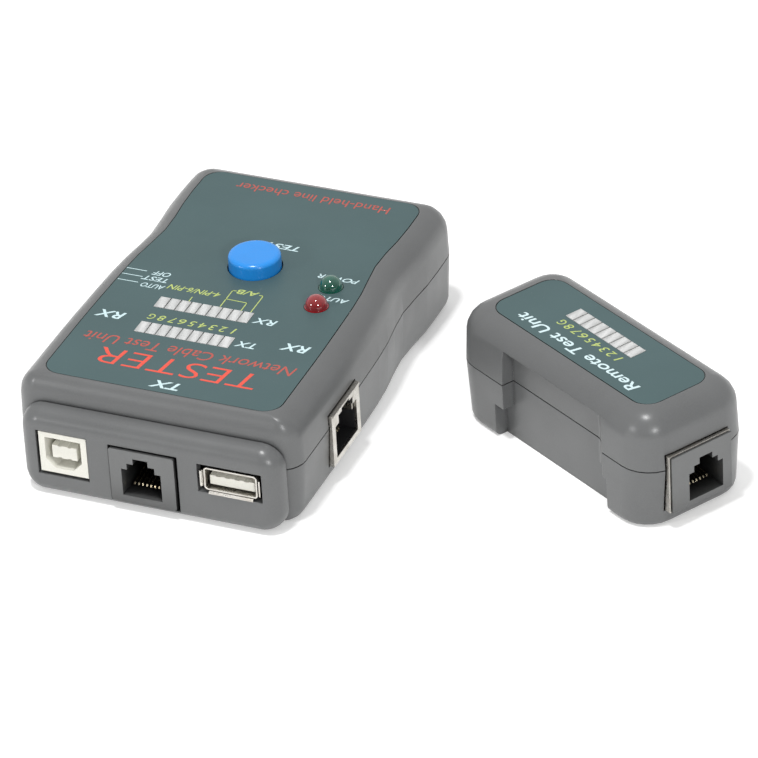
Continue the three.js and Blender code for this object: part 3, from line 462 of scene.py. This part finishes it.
def window_plastic(node, turn):
    """Milky light-pipe plastic: streaked pale blocks that grey towards the walls between them."""
    finish = Finish(node.replace("_bar", "_window"))
    streaks = finish.noise(size=1.3 * MM, detail=2, roughness=0.4, stretch=(1.2, 0.16, 0.4),
                           grid_turn=-turn - STREAK_GRID_TURN)
    edges, softened = finish.edges(0.12 * MM)
    tone = finish.blend(finish.spread(streaks, (0.34, 0.68)), WINDOW_DULL, WINDOW_PALE)
    tone = finish.blend(window_walls(finish, node, turn), tone, WINDOW_WALL)
    tone = finish.blend(edges, tone, WINDOW_RUBBED)
    # A little painted shade darkens the windows where walls close in.
    finish.colour(tone, finish.painted_shade(reach=0.5 * MM, darkest=0.85))
    finish.roughness(finish.vary(streaks, (0.28, 0.40)))
    finish.normal(finish.bump(streaks, 0.003 * MM, softened))
    finish.set(Subsurface_Weight=0.35, Subsurface_Scale=1.2 * MM,
               Subsurface_Radius=(1.0, 1.0, 1.0))
    return finish.material


def lamp_lens(name, deep, rim):
    """Tinted epoxy lens: clear surface over a deep colour that pales towards its rim."""
    finish = Finish(name)
    swirl = finish.noise(size=1.1 * MM, detail=3)
    ripple = finish.noise(size=0.8 * MM, detail=3)
    facing = finish.add("ShaderNodeLayerWeight", Blend=0.35)
    depth = finish.blend((facing, "Facing"), deep, rim)
    finish.colour(finish.blend(finish.vary(swirl, (0.0, 0.35)), depth, shade(rim, 1.2)))
    finish.roughness(finish.vary(ripple, (0.03, 0.06)))
    finish.normal(finish.bump(swirl, 0.0003 * MM))
    finish.set(Coat_Weight=1.0, Coat_Roughness=0.02, Coat_IOR=1.65, Specular_IOR_Level=0.5,
               Subsurface_Weight=0.1, Subsurface_Scale=0.6 * MM)
    return finish.material


def button_plastic():
    """Glossy blue cap with fine polishing marks and a slightly rubbed rim."""
    finish = Finish("button_blue")
    clouds = finish.noise(size=5 * MM, detail=4)
    scratches = finish.noise(size=0.5 * MM, detail=4, roughness=0.65, stretch=(0.25, 3.0, 1.0),
                             grid_turn=35)
    edges, softened = finish.edges(0.3 * MM)
    tone = finish.blend(finish.vary(clouds), shade(BUTTON_BLUE, 0.97), shade(BUTTON_BLUE, 1.03))
    finish.colour(finish.blend(finish.spread(edges, (0.0, 1.0), (0.0, 0.35)), tone, BUTTON_RUBBED))
    finish.roughness(finish.spread(scratches, (0.35, 0.7), (0.23, 0.27)))
    finish.normal(finish.bump(scratches, 0.0001 * MM, softened))
    finish.set(Coat_Weight=0.25, Coat_Roughness=0.12)
    return finish.material


def solder_mask():
    """Green board lacquer with copper tracks showing through as paler bands."""
    finish = Finish("board_green")
    weave = finish.noise(size=0.6 * MM, detail=2, stretch=(1, 0.2, 1))
    tracks = finish.add("ShaderNodeTexBrick", Scale=1 / TRACK_PATTERN_SIZE)
    finish.join(finish.place, "Object", tracks, "Vector")
    tone = finish.blend((tracks, "Fac"), BOARD_LACQUER, BOARD_TRACK)
    finish.colour(finish.blend(finish.vary(weave, (0.0, 0.3)), tone, BOARD_WEAVE))
    finish.roughness(finish.vary(weave, (0.28, 0.42)))
    finish.normal(finish.bump((tracks, "Fac"), 0.02 * MM))
    return finish.material


def plated_metal(name, colour, tarnish, rough, painted_shade):
    """Plated sheet metal: rolling lines, dull cloudy patches, brighter worn edges and painted shade
    in its hollows.
    """
    finish = Finish(name)
    lines = finish.noise(size=0.35 * MM, detail=4, roughness=0.6, stretch=(1, 1, 0.12))
    patches = finish.noise(size=2.6 * MM, detail=5, roughness=0.6)
    patch_span = (0.35, 0.72)
    edges, softened = finish.edges(0.12 * MM)
    tone = finish.blend(finish.spread(patches, patch_span), colour, tarnish)
    tone = finish.blend(edges, tone, shade(colour, 1.18))
    finish.colour(tone, finish.painted_shade(**painted_shade))
    finish.roughness(finish.calculate("ADD", finish.vary(lines, around(rough, 0.06, 0.06)),
                                      finish.spread(patches, patch_span, (0.0, 0.10))))
    finish.normal(finish.bump(lines, 0.003 * MM, softened))
    finish.set(Metallic=1.0)
    return finish.material


def nickel():
    return plated_metal("nickel", NICKEL, NICKEL_TARNISH, rough=0.26,
                        painted_shade={"reach": 1.2 * MM, "darkest": 0.28})


def contact_gold():
    """Contact fingers: painted shade makes them dark down the bore, bright only at the tips that
    reach into the light.
    """
    return plated_metal("contact_gold", GOLD, GOLD_TARNISH, rough=0.22,
                        painted_shade={"reach": 6 * MM, "darkest": 0.01, "shut": 0.28, "clear": 0.55})


def printing_ink(name, colour):
    """Screen-printed ink: slightly uneven cover with a soft sheen."""
    finish = Finish(name)
    cover = finish.noise(size=0.5 * MM, detail=4, roughness=0.6)
    finish.colour(finish.blend(finish.spread(cover, (0.35, 0.65)), shade(colour, 0.86),
                               shade(colour, 1.06)))
    finish.roughness(finish.vary(cover, (0.36, 0.48)))
    finish.normal(finish.bump(cover, 0.004 * MM))
    return finish.material


def floor_paper():
    """Plain pale backdrop paper with a barely visible fibre, lit a little from beneath."""
    finish = Finish("floor_paper")
    fibre = finish.noise(size=2 * MM, detail=3)
    finish.colour(finish.blend(finish.vary(fibre), shade(FLOOR_COLOUR, FLOOR_FIBRE_SHADE),
                               FLOOR_COLOUR))
    finish.roughness(finish.vary(fibre, (0.85, 0.95)))
    finish.normal(finish.bump(fibre, 0.004 * MM))
    finish.set(Specular_IOR_Level=0.1, Emission_Color=(1, 1, 1, 1), Emission_Strength=FLOOR_GLOW)
    return finish.material


# ------------------------------------------------------------------ CAD nodes
def shade_smoothly(node):
    """Rounded surfaces shade as curves and real edges stay sharp; no vertex is moved."""
    mesh = node.data
    if "custom_normal" in mesh.attributes:
        mesh.attributes.remove(mesh.attributes["custom_normal"])
    mesh.polygons.foreach_set("use_smooth", [True] * len(mesh.polygons))
    weld = node.modifiers.new("weld", "WELD")
    weld.merge_threshold = WELD_DISTANCE
    split = node.modifiers.new("sharp_edges", "EDGE_SPLIT")
    split.split_angle = math.radians(SHARP_ANGLE)
    split.use_edge_sharp = False
    flat = node.modifiers.new("flat_faces_first", "WEIGHTED_NORMAL")
    flat.mode = "FACE_AREA_WITH_ANGLE"
    flat.weight = FLAT_FACE_WEIGHT


def finish_cad_nodes():
    """Every CAD node takes its slot's finish, except the jacks' housings and the light bars."""
    by_slot = {
        "shell_grey": shell_plastic(),
        "label_green": printed_label(),
        "lamp_green": lamp_lens("lamp_green", LAMP_GREEN_DEEP, LAMP_GREEN_RIM),
        "lamp_red": lamp_lens("lamp_red", LAMP_RED_DEEP, LAMP_RED_RIM),
        "button_blue": button_plastic(),
        "black_plastic": black_plastic(),
        "board_green": solder_mask(),
        "nickel": nickel(),
        "contact_gold": contact_gold(),
        "ivory": ivory_plastic(),
        "battery_jacket": battery_jacket(),
        "lead_red": insulation("lead_red", LEAD_RED),
        "lead_black": insulation("lead_black", LEAD_BLACK),
    }
    by_node = {bar: window_plastic(bar, turn) for bar, turn in LIGHT_BAR_TURNS.items()}
    by_node.update(dict.fromkeys(("tx_jack", "left_jack", "remote_jack"), socket_plastic()))
    for part in frame["record"]["subparts"]:
        name = part["node"]
        node = frame["nodes"][name]
        shade_smoothly(node)
        node.data.materials.clear()
        node.data.materials.append(by_node.get(name) or by_slot[part["material_slot"]])


# ------------------------------------------------------------------ printed lettering
class Print:
    """Everything printed in one ink on one label, gathered into one thin mesh.

    Its methods take millimetres, in the axes of the place that it is given.
    """

    def __init__(self, name, body, colour, place, top):
        self.name = name
        self.body = body
        self.ink = printing_ink(name + "_ink", colour)
        self.place = place
        self.top = top
        self.mesh = bmesh.new()

    def words(self, text, x, y, width, height, slant=0.0, weight=0.0):
        """Letters with their middle at x, y, fitted to that width and capital height."""
        curve = bpy.data.curves.new("lettering", "FONT")
        curve.body = text
        curve.shear = slant
        curve.offset = weight
        curve.resolution_u = CURVE_STEPS
        curve.extrude = LETTER_HALF_DEPTH
        letters = bpy.data.objects.new("lettering", curve)
        bpy.context.scene.collection.objects.link(letters)
        bpy.context.view_layer.update()
        made = bpy.data.meshes.new_from_object(
            letters.evaluated_get(bpy.context.evaluated_depsgraph_get()))
        low = [min(v.co[i] for v in made.vertices) for i in (0, 1)]
        high = [max(v.co[i] for v in made.vertices) for i in (0, 1)]
        fit = Matrix.Diagonal((width / (high[0] - low[0]), height / (high[1] - low[1]), 1, 1))
        middle = Matrix.Translation((-(low[0] + high[0]) / 2, -(low[1] + high[1]) / 2, 0))
        made.transform(self.stand(x, y, LETTER_TURN) @ fit @ middle)
        self.mesh.from_mesh(made)
        bpy.data.objects.remove(letters)
        bpy.data.curves.remove(curve)
        bpy.data.meshes.remove(made)

    def stand(self, x, y, turn):
        """From a shape 1 deep, in millimetres about x, y, to the ink layer in the frame."""
        thickness = (INK_THICKNESS_MM + INK_SINK_MM) * MM
        lift = self.top + (INK_THICKNESS_MM - INK_SINK_MM) * MM / 2
        spot = Matrix.Translation((x * MM, y * MM, 0)) @ Matrix.Rotation(
            math.radians(turn), 4, "Z") @ Matrix.Diagonal((MM, MM, thickness, 1))
        return Matrix.Translation((0, 0, lift)) @ self.place @ spot

    def line(self, start, end, width):
        """A printed rule from start to end."""
        along = Vector(end) - Vector(start)
        middle = (Vector(start) + Vector(end)) / 2
        turn = math.degrees(math.atan2(along.y, along.x))
        size = Matrix.Diagonal((along.length + width, width, 1, 1))
        bmesh.ops.create_cube(self.mesh, size=1.0,
                              matrix=self.stand(middle.x, middle.y, turn) @ size)

    def digit_row(self, first_x, pitch, y, width):
        """The pin numbers under a bar of light windows."""
        for i, digit in enumerate(DIGITS):
            narrow = NARROW_ONE if digit == "1" else 1.0
            self.words(digit, first_x + i * pitch, y, width * narrow, DIGIT_HEIGHT_MM,
                       DIGIT_SLANT)

    def finish(self):
        bmesh.ops.remove_doubles(self.mesh, verts=self.mesh.verts, dist=INK_WELD_DISTANCE)
        bmesh.ops.recalc_face_normals(self.mesh, faces=self.mesh.faces)
        mesh = bpy.data.meshes.new(self.name)
        self.mesh.to_mesh(mesh)
        self.mesh.free()
        mesh.materials.append(self.ink)
        piece = bpy.data.objects.new(self.name, mesh)
        bpy.context.scene.collection.objects.link(piece)
        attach(piece, self.body)


def label_place(node, body_turn):
    """The label's middle and turn as a matrix, and the height of its top face."""
    low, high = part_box(node)
    middle = (low + high) / 2
    place = Matrix.Translation((middle.x, middle.y, 0)) @ Matrix.Rotation(
        math.radians(body_turn), 4, "Z")
    return place, high.z


def main_print(name, colour):
    """A print on the main label, with y measured from the connector face."""
    place, top = label_place(MAIN_LABEL, 0.0)
    low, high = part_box(MAIN_LABEL)
    face_y = (low.y - high.y) / 2 - LABEL_SETBACK_MM * MM
    return Print(name, "main_unit", colour, place @ Matrix.Translation((0, face_y, 0)), top)


def remote_print(name, colour):
    place, top = label_place(REMOTE_LABEL, REMOTE_TURN)
    return Print(name, "remote_unit", colour, place, top)


def print_legends():
    white = main_print("label_legends", INK_WHITE)
    for text, x, y, width, height, weight in LEGENDS:
        white.words(text, x, y, width, height, LEGEND_SLANT, weight)
    rule_start, rule_end = SWITCH_RULE_ENDS_MM
    for text, x, y, width, rule_y in SWITCH_LEGENDS:
        white.words(text, x, y, width, SWITCH_LETTER_HEIGHT_MM, LEGEND_SLANT, FINE_WEIGHT)
        white.line((rule_start, rule_y), (rule_end, rule_y), SWITCH_RULE_WIDTH_MM)
    white.finish()


def print_pin_numbers():
    """The main label's pin numbers, with the bracket that groups them and its two names."""
    yellow = main_print("label_digits", INK_YELLOW)
    yellow.digit_row(first_x=-14.3, pitch=2.6, y=37.7, width=1.75)
    for start, end in BRACKET_LINES:
        yellow.line(start, end, BRACKET_WIDTH_MM)
    yellow.words("A/B", x=3.15, y=53.9, width=5.4, height=1.9, slant=DIGIT_SLANT,
                 weight=LEGEND_WEIGHT)
    yellow.words("4-PIN/6-PIN", x=-9.4, y=51.0, width=13.4, height=2.0, slant=LEGEND_SLANT,
                 weight=FINE_WEIGHT)
    yellow.finish()


def print_title():
    red = main_print("label_title", INK_RED)
    red.words("TESTER", x=0.4, y=19.4, width=40.0, height=6.3, slant=TITLE_SLANT,
              weight=TITLE_WEIGHT)
    red.finish()


def print_small_print():
    dull_red = main_print("label_small_print", INK_DULL_RED)
    dull_red.words("Network Cable Test Unit", x=0.4, y=25.9, width=53.0, height=3.6,
                   slant=SUBTITLE_SLANT)
    dull_red.words("Hand-held line checker", x=0.85, y=97.9, width=39.7, height=2.9)
    dull_red.finish()


def print_remote_label():
    yellow = remote_print("remote_digits", INK_YELLOW)
    yellow.digit_row(first_x=-11.8, pitch=2.575, y=-1.5, width=1.8)
    yellow.finish()
    white = remote_print("remote_title", INK_REMOTE_WHITE)
    white.words("Remote Test Unit", x=0.0, y=-6.5, width=42.2, height=3.1, slant=REMOTE_SLANT,
                weight=REMOTE_WEIGHT)
    white.finish()


# ------------------------------------------------------------------ surroundings
def make_floor():
    mesh = bpy.data.meshes.new("floor")
    side = FLOOR_HALF_SIZE
    corners = ((-side, -side), (side, -side), (side, side), (-side, side))
    mesh.from_pydata([(x, y, -FLOOR_GAP) for x, y in corners], [], [(0, 1, 2, 3)])
    mesh.materials.append(floor_paper())
    floor = bpy.data.objects.new("floor", mesh)
    bpy.context.scene.collection.objects.link(floor)


def make_lights():
    middle = (cad_low + cad_high) / 2
    for name, direction, distance, radius, power in LIGHTS:
        light = bpy.data.lights.new(name, "AREA")
        light.shape = "DISK"
        light.size = 2 * radius
        light.energy = power
        lamp = bpy.data.objects.new(name, light)
        away = Vector(direction).normalized()
        lamp.location = middle + distance * away
        lamp.rotation_euler = away.to_track_quat("Z", "Y").to_euler()
        bpy.context.scene.collection.objects.link(lamp)


def make_world():
    """A room that is brighter on one side, in a sky whose brightness follows the direction."""
    world = bpy.data.worlds.new("studio")
    world.use_nodes = True
    tree = world.node_tree
    direction = tree.nodes.new("ShaderNodeTexCoord")
    facing = tree.nodes.new("ShaderNodeVectorMath")
    facing.operation = "DOT_PRODUCT"
    facing.inputs[1].default_value = Vector(WORLD_BRIGHT_SIDE).normalized()
    fade = tree.nodes.new("ShaderNodeMapRange")
    fade.inputs["From Min"].default_value = WORLD_FADE_START
    sky = tree.nodes.new("ShaderNodeMix")
    sky.data_type = "RGBA"
    sky.inputs[MIX_FIRST].default_value = (*WORLD_DIM, 1.0)
    sky.inputs[MIX_SECOND].default_value = (*WORLD_BRIGHT, 1.0)
    tree.links.new(direction.outputs["Generated"], facing.inputs[0])
    tree.links.new(facing.outputs["Value"], fade.inputs["Value"])
    tree.links.new(fade.outputs["Result"], sky.inputs[MIX_FACTOR])
    tree.links.new(sky.outputs[MIX_RESULT], tree.nodes["Background"].inputs["Color"])
    bpy.context.scene.world = world
    bpy.context.scene.view_settings.view_transform = "Standard"


def make_camera():
    data = bpy.data.cameras.new("camera")
    data.lens = CAMERA_LENS_MM
    data.sensor_width = CAMERA_SENSOR_MM
    camera = bpy.data.objects.new("camera", data)
    turn = (Matrix.Rotation(math.radians(CAMERA_AZIMUTH), 4, "Z")
            @ Matrix.Rotation(math.radians(90 - CAMERA_ELEVATION), 4, "X")
            @ Matrix.Rotation(math.radians(CAMERA_ROLL), 4, "Z"))
    back = turn.to_3x3() @ Vector((0, 0, 1))
    camera.matrix_world = Matrix.Translation(CAMERA_LOOK_AT + CAMERA_DISTANCE * back) @ turn
    bpy.context.scene.collection.objects.link(camera)
    bpy.context.scene.camera = camera


make_camera()
finish_cad_nodes()
print_legends()
print_pin_numbers()
print_title()
print_small_print()
print_remote_label()
make_floor()
make_lights()
make_world()
